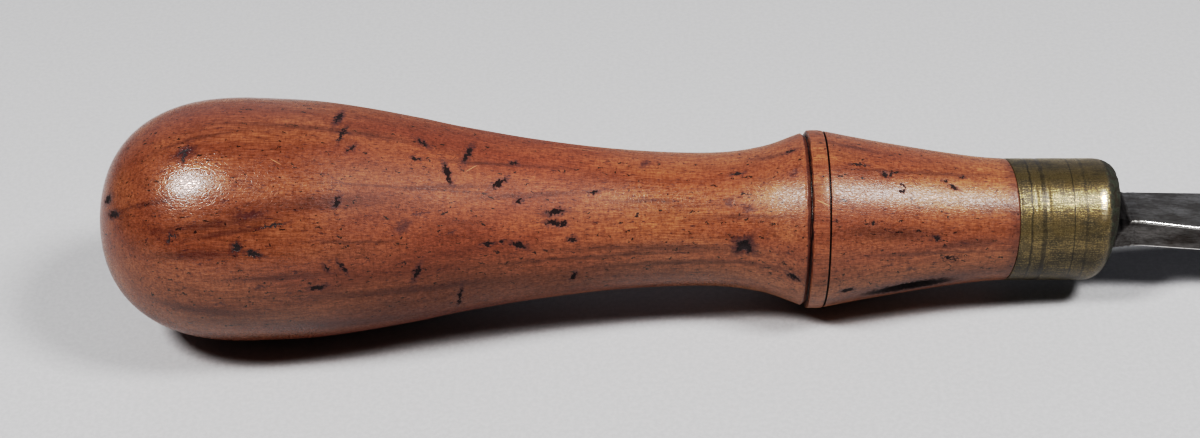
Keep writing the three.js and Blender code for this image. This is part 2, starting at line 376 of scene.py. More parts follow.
# %% Store the nearest mark on every face
def store_marks(mesh, layer, marks):
    """Two attributes: a corner's place in its mark's frame, and that mark's half sizes."""
    points = rows_of(mesh.vertices, "co")
    middles = rows_of(mesh.polygons, "center")
    frames = np.array([mark_frame(m[0], m[1], m[4]).inverted() for m in marks])
    sizes = np.array([(m[2] / 2, m[3] / 2, max(1.6, m[2] / 2)) for m in marks])
    nearest = np.full(len(middles), np.inf)
    chosen = np.zeros(len(middles), dtype=int)
    for i, (to_mark, size) in enumerate(zip(frames, sizes)):
        local = middles @ to_mark[:3, :3].T + to_mark[:3, 3]
        away = np.linalg.norm(local / size, axis=1)
        closer = away < nearest
        nearest[closer] = away[closer]
        chosen[closer] = i
    corner_points = np.empty(len(mesh.loops), dtype=int)
    mesh.loops.foreach_get("vertex_index", corner_points)
    corners = np.empty(len(mesh.polygons), dtype=int)
    mesh.polygons.foreach_get("loop_total", corners)
    of_corner = np.repeat(chosen, corners)
    turned = np.einsum("nij,nj->ni", frames[of_corner, :3, :3], points[corner_points])
    for name, values in (("place", turned + frames[of_corner, :3, 3]), ("size", sizes[of_corner])):
        stored = mesh.attributes.new(layer + "_" + name, "FLOAT_VECTOR", "CORNER")
        stored.data.foreach_set("vector", values.astype(np.float32).ravel())


store_marks(handle_mesh, "knock", [*KNOCKS, NOSE_SPLIT, BUTT_CHIP])
store_marks(handle_mesh, "bruise", BRUISES)
store_marks(handle_mesh, "scratch", SCRATCHES)
store_marks(handle_mesh, "streak", STREAKS)
handle = finish_piece(handle_mesh, "handle", 50)

# %% [markdown]
# ## The ferrule
# The ferrule is a cup of brass, drawn from sheet and pushed on to the spigot. Its front is domed over and
# has a hole for the steel. It is spun like the handle, from an outline that goes round its outside, over
# the front and back along its inside. Two worn turning lines are cut into it.

# %% Ferrule outline
FERRULE_BACK, FERRULE_CORNER, FERRULE_FRONT = 117.5, 128.3, 131.55
FERRULE_HOLE, FERRULE_BORE = 4.2, 7.05
TURNING_LINES = [(121.4, 0.22, 0.05), (119.8, 0.12, 0.035)]  # station, half width and depth


def bent(start, pull, end, steps):
    """A bend from start to end, pulled towards a corner: a quadratic curve."""
    start, pull, end = Vector(start), Vector(pull), Vector(end)
    made = []
    for i in range(steps + 1):
        t = i / steps
        made.append(start * (1 - t) ** 2 + pull * 2 * t * (1 - t) + end * t**2)
    return made


def ferrule_outline():
    outer = FERRULE_RADIUS - 0.015
    wall = [(FERRULE_BACK, 7.88), (FERRULE_BACK + 0.1, outer - 0.02)]
    along = FERRULE_BACK + 0.4
    while along < FERRULE_CORNER - 0.2:
        cut = sum(depth * math.exp(-(((along - at) / half) ** 2)) for at, half, depth in TURNING_LINES)
        wall.append((along, outer - cut))
        along += 0.12
    corner = (FERRULE_FRONT - 0.35, outer - 0.1)
    front = bent((FERRULE_CORNER, outer), corner, (FERRULE_FRONT, FERRULE_HOLE), 24)
    lip = [(FERRULE_FRONT - 0.12, FERRULE_HOLE - 0.08), (FERRULE_FRONT - 0.9, FERRULE_HOLE - 0.05)]
    inside = bent((FERRULE_FRONT - 1, FERRULE_HOLE), (130.2, 6.8), (FERRULE_CORNER - 0.2, FERRULE_BORE), 8)
    ring = [*map(Vector, wall), *front, *map(Vector, lip), *inside, Vector((FERRULE_BACK, FERRULE_BORE))]
    return [*ring, ring[0]]


FRONT_TIPPED = 0.13  # how far back the front leans for each millimetre below the facing line
BELOW_FACING = Vector((1, 0, 0)).cross(FACING_SIDE)


def wear_ferrule(mesh):
    """A few knocks and a slightly uneven hole, pushed inwards only."""
    for vertex in mesh.vertices:
        x, y, z = vertex.co
        radius = math.hypot(y, z)
        dull = noise.noise((x * 0.25, y * 0.3, z * 0.3))
        fine = noise.noise((x * 0.9, y * 0.9, z * 0.9))
        outside = radius > 7.3 or x > FERRULE_FRONT - 0.6
        push = (0.03 * (0.5 + 0.5 * dull) + 0.02 * (0.5 + 0.5 * fine)) * outside
        if x > FERRULE_FRONT - 1.5:
            push += 0.12 * max(0.0, noise.noise((x * 1.2, y * 0.8, z * 0.8)))
        vertex.co.y *= 1 - push / radius
        vertex.co.z *= 1 - push / radius
        vertex.co.x -= push * 0.6 * (x > 129)
        ahead = (x - FERRULE_BACK) / (FERRULE_FRONT - FERRULE_BACK)
        vertex.co.x += lean(vertex.co, 1 - 0.85 * ahead)
        vertex.co.x -= FRONT_TIPPED * max(0.0, ahead * 1.6 - 0.6) * vertex.co.dot(BELOW_FACING)


ferrule_mesh = spun("brass_ferrule", ferrule_outline(), 200)
wear_ferrule(ferrule_mesh)
ferrule = finish_piece(ferrule_mesh, "ferrule", 40)

# %% [markdown]
# ## The blade
# A smith draws the blade out of a bar, so it is made here the same way. A cube becomes the bar, and cuts
# along it let each slice have its own width and height: flat on the back, thinning to the front, and wider
# all the way to the edge.

# %% Draw out the bar
NECK_START, NECK_END, TIP = 131.2, 134.6, 232.68
NECK_HALF_WIDTH, NECK_TOP, NECK_BACK, BACK_SLOPE = 3.43, 2.05, -1.95, -0.025
BEVEL_LENGTH, HEEL_THICKNESS, EDGE_THICKNESS = 5.9, 2.68, 0.14
HALF_WIDTHS = [(134.6, 3.43), (143.1, 4.15), (165, 5.73), (200, 7.68), (233, 9.49)]
THICKNESSES = [(134.6, 4.0), (143.1, 3.58), (154, 3.31), (170, 3.1), (198, 2.88), (233, 2.66)]


def read_off(line, along):
    """The height of a smooth line at a station."""
    along = min(max(along, line[0].x), line[-1].x)
    for a, b in zip(line, line[1:]):
        if along <= b.x:
            return a.y + (b.y - a.y) * (along - a.x) / (b.x - a.x)
    return line[-1].y


half_width_line = smooth_line(HALF_WIDTHS, 2)
thickness_line = smooth_line(THICKNESSES, 2)


def back_height(along):
    return NECK_BACK + BACK_SLOPE * max(0.0, along - NECK_END)


def forged_bar():
    """The bar from the neck to the tip, with its flare and its taper."""
    bar = bmesh.new()
    bmesh.ops.create_cube(bar, size=1)
    long_edges = [e for e in bar.edges if abs(e.verts[0].co.x - e.verts[1].co.x) > 0.5]
    bmesh.ops.subdivide_edges(bar, edges=long_edges, cuts=150)
    for vertex in bar.verts:
        share = vertex.co.x + 0.5
        along = NECK_START + (TIP - NECK_START) * share**1.15
        half_width = read_off(half_width_line, along)
        back = back_height(along)
        vertex.co.x = along
        vertex.co.y *= 2 * half_width
        vertex.co.z = back if vertex.co.z < 0 else back + read_off(thickness_line, along)
    return bar


bar = forged_bar()
print("slices along the bar:", len(bar.verts) // 4)

# %% [markdown]
# ## Filing the neck and grinding the bevel
# `bisect_plane` cuts a solid along a plane and throws one side away, and the open cut is filled. It leaves
# the crisp facets of a file and a grindstone, which pushing vertices about would blur. The cuts at the
# neck start on the blade's sides, along a slanting line, and deepen until they meet the hole of the
# ferrule.

# %% File and grind
FACET_DEPTH = 0.75  # how much narrower the neck is at the ferrule


def cut_off(shape, point, outwards):
    """Cuts away what lies on the outward side of a plane and closes the cut."""
    everything = [*shape.verts, *shape.edges, *shape.faces]
    cut = bmesh.ops.bisect_plane(shape, geom=everything, dist=1e-5, plane_co=point, plane_no=outwards,
                                 clear_outer=True)
    rim = [g for g in cut["geom_cut"] if isinstance(g, bmesh.types.BMEdge)]
    bmesh.ops.holes_fill(shape, edges=rim, sides=0)


def plane_through(a, b, c):
    """A point and a normal for the plane through three points, facing away from the tool's axis."""
    a, b, c = Vector(a), Vector(b), Vector(c)
    normal = (b - a).cross(c - a).normalized()
    return a, normal if normal.dot(a - Vector((a.x, 0, 0))) > 0 else -normal


for side in (-1, 1):
    at_top = (NECK_END - 1.2, side * NECK_HALF_WIDTH, NECK_TOP)
    at_back = (NECK_END - 3.6, side * NECK_HALF_WIDTH, NECK_BACK)
    at_hole = (NECK_START, side * (NECK_HALF_WIDTH - FACET_DEPTH), NECK_TOP)
    cut_off(bar, *plane_through(at_top, at_back, at_hole))

heel = TIP - BEVEL_LENGTH
heel_top = back_height(heel) + HEEL_THICKNESS
bevel_drop = heel_top - back_height(TIP) - EDGE_THICKNESS
cut_off(bar, (heel, 0, heel_top), (bevel_drop, 0, BEVEL_LENGTH))
print("faces after filing:", len(bar.faces))

# %% [markdown]
# ## Worn corners and the tang
# A corner that is perfectly sharp catches no light. The bevel operator gives the long corners a tiny flat,
# which shows as the thin bright line along an old blade. A number on each face records whether it is a
# worn corner, a flank or the ground bevel, so that the finish can tell them apart. Then the back end is
# extruded into the square tang, which narrows at the shoulder that stops against the spigot and tapers to
# a blunt point.

# %% Soften the corners
CORNER_FLAT = 0.3
TANG_SHOULDER, TANG_TIP = (130.2, 2.25), (70.3, 0.85)  # station and half width


def long_corners(shape):
    """The sharp edges that run along the blade, ahead of the neck."""
    found = []
    for edge in shape.edges:
        a, b = (v.co for v in edge.verts)
        runs_along = abs(a.x - b.x) > 0.8 * (a - b).length
        if runs_along and min(a.x, b.x) > NECK_END - 1.3 and edge.calc_face_angle(0) > math.radians(50):
            found.append(edge)
    return found


worn, flank, ground = (bar.faces.layers.float.new(name) for name in ("worn", "flank", "ground"))
bar.normal_update()
for face in bar.faces:
    slopes_forward = face.normal.z > 0.5 and face.normal.x > 0.2
    face[flank] = float(abs(face.normal.y) > 0.7)
    face[ground] = float(slopes_forward and face.calc_center_median().x > heel)
rounded = bmesh.ops.bevel(bar, geom=long_corners(bar), affect="EDGES", offset=CORNER_FLAT, segments=4,
                          profile=0.5, material=-1)
for face in rounded["faces"]:
    face[worn], face[flank], face[ground] = 1.0, 0.0, 0.0

# %% Extrude the tang
def tang_end(shape, along, half):
    """Extrudes the back end of the steel to a new station, and squares it to a new size."""
    back = min(shape.faces, key=lambda f: f.calc_center_median().x)
    grown = bmesh.ops.extrude_face_region(shape, geom=[back])
    ring = [g for g in grown["geom"] if isinstance(g, bmesh.types.BMVert)]
    reach = max(max(abs(v.co.y), abs(v.co.z)) for v in ring)
    for vertex in ring:
        vertex.co = Vector((along, vertex.co.y * half / reach, vertex.co.z * half / reach))
    if back.is_valid:
        bmesh.ops.delete(shape, geom=[back], context="FACES_ONLY")


tang_end(bar, *TANG_SHOULDER)
tang_end(bar, *TANG_TIP)
bmesh.ops.remove_doubles(bar, verts=bar.verts, dist=0.01)
bmesh.ops.recalc_face_normals(bar, faces=bar.faces)
print("faces with the tang:", len(bar.faces))

# %% [markdown]
# ## Hammer and file marks
# The neck was left from the anvil, with rough ridges across it. Its faces are cut into small triangles, so
# that there is something to move, and noise that is stretched across the steel pushes them in and out by a
# tenth of a millimetre. At the end every face becomes triangles, so that no long straight edge leaves a
# sliver.

# %% Roughen the neck
FACE_SIZE, RIDGE_HEIGHT, PIT_DEPTH = 0.2, 0.24, 0.08


def roughen_neck(shape):
    neck = [f for f in shape.faces if NECK_START + 0.3 < f.calc_center_median().x < NECK_END + 0.6]
    bmesh.ops.triangulate(shape, faces=neck)
    for _ in range(4):
        edges = [e for e in shape.edges if e.calc_length() > FACE_SIZE
                 and all(NECK_START - 0.1 < v.co.x < NECK_END + 1.0 for v in e.verts)]
        bmesh.ops.subdivide_edges(shape, edges=edges, cuts=1, use_grid_fill=True)
        wide = [f for f in shape.faces if len(f.verts) > 4]
        bmesh.ops.triangulate(shape, faces=wide)
    shape.normal_update()
    moves = {}
    for vertex in shape.verts:
        x, y, z = vertex.co
        if NECK_START < x < NECK_END + 0.9:
            fade = min(1.0, (NECK_END + 0.9 - x) / 2.4)
            ridge = noise.noise((x * 2.1, y * 0.25, z * 0.25 + 3))
            pit = noise.noise((x * 2.5, y * 2.5, z * 2.5))
            moves[vertex] = vertex.normal * fade * (RIDGE_HEIGHT * ridge + PIT_DEPTH * pit)
    for vertex, move in moves.items():
        vertex.co += move
    bmesh.ops.triangulate(shape, faces=shape.faces)
    bmesh.ops.dissolve_degenerate(shape, edges=shape.edges, dist=0.02)


roughen_neck(bar)
blade_mesh = bpy.data.meshes.new("forged_blade")
bar.to_mesh(blade_mesh)
bar.free()
blade = finish_piece(blade_mesh, "blade", 30)

# %% [markdown]
# ## Building finishes from nodes
# Every finish is a small graph of shader nodes, built up in layers. Small helpers keep the graphs short:
# `put` adds a node and feeds its inputs, `tool_space` turns the object's coordinates into millimetres
# along the tool, and `laid` puts one colour over another through a mask. Noise whose feature sizes are in
# millimetres can be compared with the real thing with a ruler.

# %% Node helpers
def feed(tree, socket, value):
    """Gives a socket a number, a colour or another node's output."""
    if isinstance(value, bpy.types.NodeSocket):
        tree.links.new(value, socket)
    else:
        socket.default_value = value


def put(tree, kind, inputs=None, **properties):
    """Adds a node, sets its properties and feeds its inputs."""
    added = tree.nodes.new("ShaderNode" + kind)
    for name, value in properties.items():
        setattr(added, name, value)
    for name, value in (inputs or {}).items():
        feed(tree, added.inputs[name], value)
    return added


def tool_space(tree):
    """Millimetres in the tool's own space: X along it from the butt."""
    place = put(tree, "TexCoord").outputs["Object"]
    return put(tree, "Mapping", {"Vector": place, "Location": BUTT, "Rotation": (0, DIP, 0),
                                 "Scale": (MM, MM, MM)}, vector_type="TEXTURE").outputs[0]


def stored(tree, name, kind="Vector"):
    """An attribute of the mesh."""
    return put(tree, "Attribute", attribute_name=name).outputs[kind]


def scaled(tree, space, sizes, turn=0.0):
    """A space measured in other units along each axis."""
    return put(tree, "Mapping", {"Vector": space, "Rotation": (turn, 0, 0), "Scale": sizes},
               vector_type="TEXTURE").outputs[0]


def grain(tree, space, along, across, detail=3.0, roughness=0.55, turn=0.0, across_z=None):
    """Noise with features of a given length along the tool and width across it."""
    sized = scaled(tree, space, (along, across, across_z or across), turn)
    return put(tree, "TexNoise", {"Vector": sized, "Scale": 1.0, "Detail": detail,
                                  "Roughness": roughness}).outputs[0]


def between(tree, value, low, high, smooth=True):
    """0 where the value is at low, 1 where it is at high."""
    kind = "SMOOTHSTEP" if smooth else "LINEAR"
    return put(tree, "MapRange", {"Value": value, "From Min": low, "From Max": high},
               interpolation_type=kind).outputs[0]


def patches(tree, space, along, across, low, high, *texture, **turned):
    """Patches of noise of a given feature size: 0 where the noise is at low, 1 at high."""
    return between(tree, grain(tree, space, along, across, *texture, **turned), low, high)


def sums(tree, operation, a, b):
    return put(tree, "Math", {0: a, 1: b}, operation=operation).outputs[0]


def vectors(tree, operation, a, b):
    return put(tree, "VectorMath", {0: a, 1: b}, operation=operation).outputs[0]


def times(tree, a, b):
    return sums(tree, "MULTIPLY", a, b)


def blend(tree, share, under, over, mode="MIX"):
    """One colour laid over another, by a share from 0 to 1."""
    made = put(tree, "Mix", {0: share, 6: under, 7: over}, data_type="RGBA", blend_type=mode)
    return made.outputs[2]


def laid(tree, mask, strength, under, over, mode="MIX"):
    """One colour laid over another through a mask, at a given strength."""
    return blend(tree, times(tree, mask, strength), under, over, mode)


def raised(tree, value, mask, amount):
    """A value, higher by an amount where the mask is 1."""
    return sums(tree, "ADD", value, times(tree, mask, amount))


def lifted(tree, mask, share, base):
    """A mask scaled to a share and set on a base, so that it never falls to 0."""
    return put(tree, "Math", {0: mask, 1: share, 2: base}, operation="MULTIPLY_ADD").outputs[0]


def split(tree, space):
    """The three coordinates of a point: along the tool, across it and up."""
    return put(tree, "SeparateXYZ", {0: space}).outputs


def relief(tree, height, depth, under=None):
    """A bump of a given depth in millimetres, on top of another."""
    inputs = {"Height": height, "Distance": depth * MM, "Strength": 1.0}
    if under is not None:
        inputs["Normal"] = under
    return put(tree, "Bump", inputs).outputs[0]


def new_finish(name):
    material = bpy.data.materials.new(name)
    material.use_nodes = True
    return material, material.node_tree, material.node_tree.nodes["Principled BSDF"]


def dress(piece, material):
    """Gives a piece its finish."""
    piece.data.materials.clear()
    piece.data.materials.append(material)
    print(material.name, "nodes:", len(material.node_tree.nodes))


def connect(tree, shader, **inputs):
    """Feeds the shader's inputs; an underscore in a name stands for a space."""
    for name, value in inputs.items():
        feed(tree, shader.inputs[name.replace("_", " ")], value)


# %% [markdown]
# ## Marks in a finish
# The finish reads the two attributes that were stored with each list of marks. A point's place within its
# mark, divided by the mark's size, has length one on the outline. Noise moves the place a little first, so
# that no mark is a true ellipse.

# %% Distance from the nearest mark
def from_mark(tree, layer, wobble):
    """0 in the middle of the nearest mark, 1 on its outline."""
    moved = vectors(tree, "ADD", stored(tree, layer + "_place"), wobble)
    share = vectors(tree, "DIVIDE", moved, stored(tree, layer + "_size"))
    return put(tree, "VectorMath", {0: share}, operation="LENGTH").outputs["Value"]


def jitter(tree, space, size, amount):
    """A small random shift, in millimetres, whose features have a given size."""
    sized = scaled(tree, space, (size, size, size))
    wobble = put(tree, "TexNoise", {"Vector": sized, "Scale": 1.0, "Detail": 3.0}).outputs["Color"]
    centred = vectors(tree, "SUBTRACT", wobble, (0.5, 0.5, 0.5))
    return put(tree, "VectorMath", {0: centred, "Scale": amount}, operation="SCALE").outputs[0]


def shaken(tree, space, size, amount):
    """The same space with every point moved a little by noise."""
    return vectors(tree, "ADD", space, jitter(tree, space, size, amount))


# %% [markdown]
# ## The wood
# The handle is red-brown fruitwood under an old, thin polish. Its figure is built from coarse to fine, as
# a painter grains a door: warm and cool zones, long streaks, purple-brown stains that follow the grain,
# short dark pores, and fine fibres. All of it lies along the tool, so the curved surface cuts it into the
# bowed lines that a turned handle shows.

# %% Wood colours
AMBER = (0.405, 0.184, 0.088, 1)
RUSSET = (0.3, 0.114, 0.058, 1)
UMBER = (0.095, 0.027, 0.019, 1)
PLUM = (0.055, 0.018, 0.022, 1)
INK = (0.01, 0.005, 0.006, 1)
BUTT_TONE_AND_SHADE = (0.76, 0.72, 0.76, 1)
DEEPENED = (0.93, 0.79, 0.75, 1)
RUBBED = (0.5, 0.27, 0.15, 1)


def wood_figure(tree, space):
    """The colour of the bare wood."""
    swirl = shaken(tree, space, 9.0, 1.2)
    zones = patches(tree, swirl, 38, 8.5, 0.34, 0.62, 2.0, turn=0.5, across_z=5.0)
    colour = blend(tree, zones, RUSSET, AMBER)
    # The wood is darker towards the butt.
    toward_butt = between(tree, split(tree, swirl)[0], 64.0, 34.0)
    colour = blend(tree, toward_butt, colour, BUTT_TONE_AND_SHADE, "MULTIPLY")
    streaks = patches(tree, swirl, 26, 1.7, 0.42, 0.7, 4.0, turn=0.5, across_z=1.1)
    colour = laid(tree, streaks, 0.28, colour, UMBER)
    drawn = between(tree, from_mark(tree, "streak", jitter(tree, space, 1.6, 0.8)), 1.6, 0.2)
    colour = laid(tree, drawn, 0.5, colour, PLUM)
    lines = patches(tree, swirl, 9, 0.3, 0.52, 0.68, 5.0, 0.7)
    colour = laid(tree, lines, 0.34, colour, UMBER)
    fibres = grain(tree, space, 2.6, 0.16, 3.0, 0.7)
    colour = blend(tree, between(tree, fibres, 0.32, 0.68), colour, (0.6, 0.52, 0.5, 1), "MULTIPLY")
    chatter = grain(tree, space, 0.3, 1.0, 3.0, 0.65)
    colour = blend(tree, between(tree, chatter, 0.42, 0.66), colour, (0.8, 0.74, 0.72, 1), "MULTIPLY")
    mottle = patches(tree, space, 0.5, 0.34, 0.47, 0.66, 4.0, 0.76)
    colour = laid(tree, mottle, 0.5, colour, UMBER)
    pores = patches(tree, space, 1.1, 0.24, 0.61, 0.7, 2.0, 0.6)
    colour = laid(tree, pores, 0.78, colour, PLUM)
    dashes = between(tree, grain(tree, shaken(tree, space, 0.5, 0.9), 1.3, 0.4, 1.0), 0.68, 0.72)
    return laid(tree, dashes, 0.9, colour, INK)


# %% [markdown]
# Hands have oiled the neck to a deeper colour, and painted shade darkens its lower side. Dirt gathers
# where hands and rags don't reach: in both scribed lines, against the ferrule, and in every knock. The
# masks come from the station along the tool, the height, and the stored marks.

# %% Dirt on the wood
def ring_at(tree, along, station, half_width, soft):
    """1 on a ring round the tool at a station, fading to 0 outside it."""
    away = sums(tree, "ABSOLUTE", sums(tree, "SUBTRACT", along, station), 0.0)
    return between(tree, away, half_width + soft, half_width)


def dirty(tree, space, colour):
    """The wood's colour with dirt, marks and painted shade laid over it, and where the knocks are."""
    wobble = jitter(tree, space, 0.42, 1.5)
    along, _, height = split(tree, space)
    ragged_along = split(tree, shaken(tree, space, 0.9, 0.34))[0]
    oiled = times(tree, between(tree, along, 24, 44), between(tree, along, 76, 58))
    colour = blend(tree, oiled, colour, DEEPENED, "MULTIPLY")
    # Painted shade: the lower side of the neck is darkened in colour.
    neck_underside_shade = times(tree, ring_at(tree, along, 58, 10, 18), between(tree, height, 5.5, -1.5))
    colour = blend(tree, neck_underside_shade, colour, BUTT_TONE_AND_SHADE, "MULTIPLY")
    bruise = between(tree, from_mark(tree, "bruise", wobble), 1.5, 0.3)
    colour = laid(tree, bruise, 0.7, colour, PLUM)
    scratch = between(tree, from_mark(tree, "scratch", jitter(tree, space, 1.0, 0.1)), 1.1, 0.7)
    colour = laid(tree, scratch, 0.7, colour, RUBBED)
    from_knock = from_mark(tree, "knock", wobble)
    halo = between(tree, from_knock, 3.0, 1.1)
    colour = laid(tree, halo, 0.62, colour, PLUM)
    knock = between(tree, from_knock, 1.5, 0.9)
    colour = laid(tree, knock, 0.95, colour, INK)
    torn = ring_at(tree, ragged_along, WIDE_GROOVE - 0.18, 0.28, 0.14)
    colour = laid(tree, torn, 0.6, colour, PLUM)
    wide = ring_at(tree, ragged_along, WIDE_GROOVE + 0.03, 0.03, 0.11)
    fine = ring_at(tree, along, FINE_GROOVE, 0.08, 0.07)
    patchy = patches(tree, space, 2.0, 0.8, 0.25, 0.55, 3.0)
    colour = laid(tree, wide, lifted(tree, patchy, 0.5, 0.5), colour, INK)
    colour = laid(tree, fine, 0.95, colour, INK)
    rim = between(tree, along, JOINT - 1.6, JOINT + 0.6)
    return laid(tree, rim, 0.5, colour, PLUM), knock


# %% [markdown]
# The polish is thin and has shrunk into a fine crackle, so its highlights break up into glittering grains.
# That is relief, not colour: cells with sunk joints, fine noise for orange peel, and the fibres that show
# through. The gloss is low roughness, higher in the knocks and where the hand has worn the neck.

# %% Wood finish
def crackle(tree, space):
    """0 in the joints of the crackled polish, 1 between them."""
    cells = scaled(tree, shaken(tree, space, 0.8, 0.6), (0.66, 0.36, 0.36))
    edge = put(tree, "TexVoronoi", {"Vector": cells, "Scale": 1.0, "Randomness": 1.0},
               feature="DISTANCE_TO_EDGE").outputs["Distance"]
    return between(tree, edge, 0.0, 0.15, smooth=False)


def polished_wood():
    material, tree, shader = new_finish("oiled_fruitwood")
    space = tool_space(tree)
    colour, knock = dirty(tree, space, wood_figure(tree, space))
    skin = relief(tree, grain(tree, space, 0.26, 0.18, 2.0, 0.6), 0.004)
    skin = relief(tree, grain(tree, space, 4.0, 0.22, 2.0, 0.6), 0.004, skin)
    skin = relief(tree, crackle(tree, space), 0.008, skin)
    skin = relief(tree, sums(tree, "SUBTRACT", 1.0, knock), 0.03, skin)
    worn = times(tree, grain(tree, space, 14, 5, 3.0), 0.35)
    worn = sums(tree, "ADD", worn, grain(tree, space, 0.4, 0.16, 2.0, 0.7))
    rough = put(tree, "MapRange", {"Value": worn, "From Min": 0.55, "From Max": 0.8, "To Min": 0.13,
                                   "To Max": 0.34}).outputs[0]
    rough = raised(tree, rough, knock, 0.45)
    along = split(tree, space)[0]
    rough = raised(tree, rough, between(tree, along, 50, 90), 0.15)
    gripped = times(tree, between(tree, along, 24, 36), between(tree, along, 74, 58))
    rough = raised(tree, rough, gripped, 0.32)
    connect(tree, shader, Base_Color=colour, Roughness=rough, Normal=skin, Specular_IOR_Level=0.5)
    return material


dress(handle, polished_wood())

# %% [markdown]
# ## Old brass
# Brass that has lain in a drawer goes olive brown, and only a hand keeps it bright. The tarnish is laid on
# the metal in patches, thin where it is rubbed. Fine scores run round the ferrule from the lathe, and
# along it from a rag. The domed front, which no rag reaches, carries green tarnish and grime. The top and
# the lower side are darkened as painted shade, and the rubbed front corner carries a painted glint.

# %% Brass finish
BRASS = (0.6, 0.48, 0.24, 1)
OLIVE = (0.15, 0.11, 0.05, 1)
DULL = (0.07, 0.056, 0.036, 1)
RUBBED_GLINT_BRASS = (0.7, 0.63, 0.5, 1)
SOOT = (0.03, 0.025, 0.02, 1)
VERDIGRIS = (0.036, 0.046, 0.032, 1)


def old_brass():
    material, tree, shader = new_finish("old_brass")
    space = tool_space(tree)
    along, _, height = split(tree, space)
    ragged_along = split(tree, shaken(tree, space, 1.2, 0.5))[0]
    cloud = patches(tree, space, 4.0, 2.8, 0.32, 0.68, 5.0, 0.65)
    tarnish = blend(tree, cloud, OLIVE, DULL)
    rubs = grain(tree, space, 1.8, 0.14, 4.0, 0.7)
    lathe = grain(tree, space, 0.09, 7.0, 3.0, 0.65)
    grit = grain(tree, space, 0.2, 0.13, 2.0, 0.7)
    open_metal = sums(tree, "ADD", times(tree, rubs, 0.5), times(tree, grit, 0.5))
    open_metal = sums(tree, "SUBTRACT", open_metal, times(tree, cloud, 0.03))
    bright = between(tree, open_metal, 0.47, 0.58)
    colour = laid(tree, bright, 0.6, tarnish, BRASS)
    colour = blend(tree, between(tree, lathe, 0.45, 0.75), colour, (0.66, 0.64, 0.62, 1), "MULTIPLY")
    bands = 0.0
    for station, half_width, soft, strength in [(119.8, 0.06, 0.12, 0.75), (121.4, 0.2, 0.16, 0.65),
                                                (125.2, 0.04, 0.08, 0.75), (126.8, 0.1, 0.14, 0.5)]:
        ring = ring_at(tree, ragged_along if half_width > 0.05 else along, station, half_width, soft)
        bands = sums(tree, "MAXIMUM", bands, times(tree, ring, strength))
    colour = blend(tree, bands, colour, SOOT)
    specks = patches(tree, space, 0.5, 0.3, 0.58, 0.72, 3.0, 0.7)
    colour = laid(tree, specks, 0.6, colour, SOOT)
    # Painted shade: the top and the lower side of the ferrule are darkened in colour.
    top_and_underside_shade = sums(tree, "MAXIMUM", between(tree, height, 4.4, -1.5), between(tree, height, 6.9, 8.1))
    colour = laid(tree, top_and_underside_shade, 0.75, colour, (0.4, 0.4, 0.44, 1), "MULTIPLY")
    # The front corner is rubbed to bare metal, and its colour is lightened only in the band where the
    # highlight falls: a painted glint.
    corner = times(tree, ring_at(tree, along, 129.0, 0.1, 0.5), between(tree, rubs, 0.35, 0.5))
    glint_band = times(tree, between(tree, height, 4.0, 5.8), between(tree, height, 7.3, 6.6))
    corner = times(tree, corner, glint_band)
    colour = laid(tree, corner, 0.6, colour, RUBBED_GLINT_BRASS)
    front = between(tree, ragged_along, 129.5, 130.1)
    green = patches(tree, space, 0.8, 0.8, 0.42, 0.62, 4.0, 0.7)
    crust = blend(tree, green, SOOT, VERDIGRIS)
    colour = laid(tree, front, 0.94, colour, crust)
    skin = relief(tree, grit, 0.02)
    skin = relief(tree, rubs, 0.012, skin)
    skin = relief(tree, lathe, 0.01, skin)
    skin = relief(tree, times(tree, front, green), 0.06, skin)
    rough = lifted(tree, cloud, 0.12, 0.27)
    rough = raised(tree, rough, front, 0.3)
    covered = sums(tree, "MAXIMUM", bands, front)
    bright = sums(tree, "MAXIMUM", bright, corner)
    metal = times(tree, bright, sums(tree, "SUBTRACT", 1.0, covered))
    metal = put(tree, "MapRange", {"Value": metal, "To Min": 0.2, "To Max": 0.9}).outputs[0]
    connect(tree, shader, Base_Color=colour, Roughness=rough, Normal=skin, Metallic=metal)
    return material


dress(ferrule, old_brass())

# %% [markdown]
# ## Old steel
# The blade was filed and ground along its length, and has since gone grey-brown. Whetting has kept it
# brighter towards the cutting edge, and the bevel is freshly honed. The neck keeps its black scale from
# the fire.

# %% Steel finish
BRIGHT_STEEL = (0.72, 0.71, 0.69, 1)
STEEL = (0.6, 0.59, 0.575, 1)
GREY_PATINA = (0.17, 0.162, 0.155, 1)
RUST_BROWN = (0.06, 0.038, 0.026, 1)
SCALE_BLACK = (0.04, 0.037, 0.037, 1)


